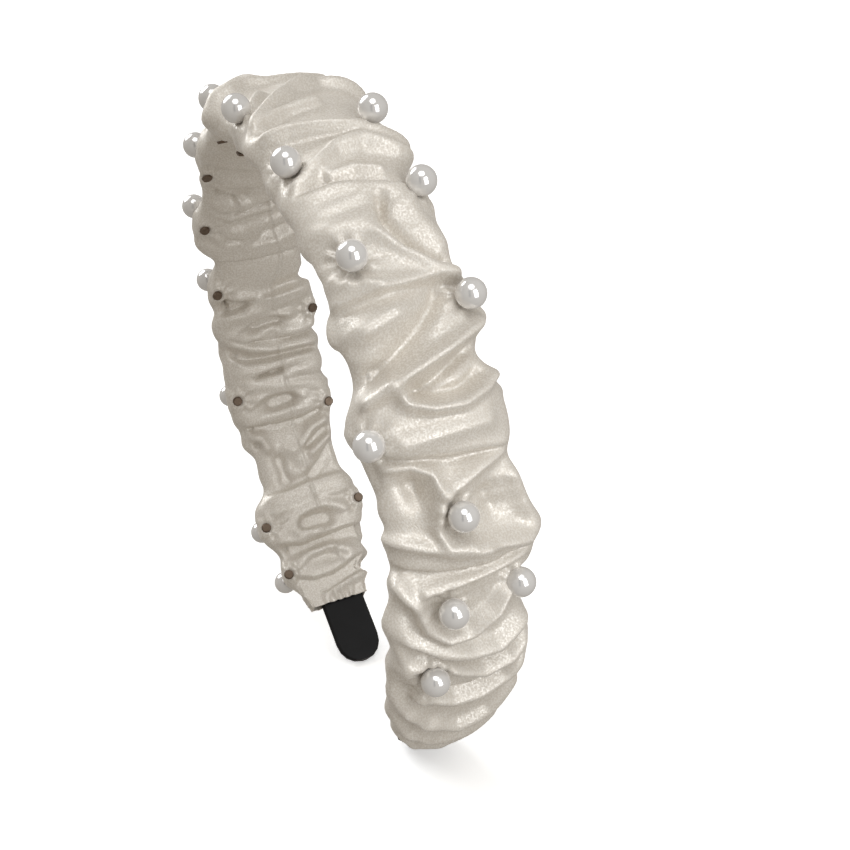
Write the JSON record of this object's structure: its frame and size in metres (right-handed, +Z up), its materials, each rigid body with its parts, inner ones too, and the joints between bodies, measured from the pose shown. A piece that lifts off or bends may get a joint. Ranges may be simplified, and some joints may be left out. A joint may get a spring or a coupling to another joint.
{
  "type": "headband",
  "caption": "Open springy headband: a flat plastic hoop in a gathered ivory satin sleeve, with round pearl beads riveted over it and bare rounded tails at both ends.",
  "frame": {"origin": "under the middle of the crown, on the centre plane, level with the lowest edge of the two tails", "axes": "+Z up from the tails to the crown, +X towards the right arm, +Y across the width of the band"},
  "size_m": [0.1513, 0.0342, 0.1611],
  "materials": {
    "hoop_plastic": "satin black moulded plastic",
    "satin": "ivory satin with a strong sheen",
    "pearl": "pearlescent white coating",
    "rivet": "dark bronze plated",
    "thread": "matt spun cotton"
  },
  "bodies": {
    "crown": {"hoop_crown": "hoop_plastic", "sleeve_crown": "satin", "pearl_right_01": "pearl", "rivet_right_01": "rivet", "pearl_right_02": "pearl", "rivet_right_02": "rivet", "pearl_right_03": "pearl", "rivet_right_03": "rivet", "pearl_left_01": "pearl", "rivet_left_01": "rivet"},
    "right_arm": {"hoop_right": "hoop_plastic", "sleeve_right": "satin", "hem_thread_right": "thread", "pearl_right_04": "pearl", "rivet_right_04": "rivet", "pearl_right_05": "pearl", "rivet_right_05": "rivet", "pearl_right_06": "pearl", "rivet_right_06": "rivet", "pearl_right_07": "pearl", "rivet_right_07": "rivet", "pearl_right_08": "pearl", "rivet_right_08": "rivet", "pearl_right_09": "pearl", "rivet_right_09": "rivet", "pearl_right_10": "pearl", "rivet_right_10": "rivet", "pearl_right_11": "pearl", "rivet_right_11": "rivet"},
    "left_arm": {"hoop_left": "hoop_plastic", "sleeve_left": "satin", "hem_thread_left": "thread", "pearl_left_02": "pearl", "rivet_left_02": "rivet", "pearl_left_03": "pearl", "rivet_left_03": "rivet", "pearl_left_04": "pearl", "rivet_left_04": "rivet", "pearl_left_05": "pearl", "rivet_left_05": "rivet", "pearl_left_06": "pearl", "rivet_left_06": "rivet", "pearl_left_07": "pearl", "rivet_left_07": "rivet", "pearl_left_08": "pearl", "rivet_left_08": "rivet", "pearl_left_09": "pearl", "rivet_left_09": "rivet", "pearl_left_10": "pearl", "rivet_left_10": "rivet", "pearl_left_11": "pearl", "rivet_left_11": "rivet", "pearl_left_12": "pearl", "rivet_left_12": "rivet", "pearl_left_13": "pearl", "rivet_left_13": "rivet"}
  },
  "joints": [
    {"name": "right_arm_flex", "type": "hinge", "parent": "crown", "child": "right_arm", "pos_m": [0.03451, 0, 0.14143], "axis": [0, -1, 0], "range_deg": [-4, 12], "stiffness_Nm_per_rad": 1.2},
    {"name": "left_arm_flex", "type": "hinge", "parent": "crown", "child": "left_arm", "pos_m": [-0.03451, 0, 0.14143], "axis": [0, 1, 0], "range_deg": [-4, 12], "stiffness_Nm_per_rad": 1.2}
  ]
}
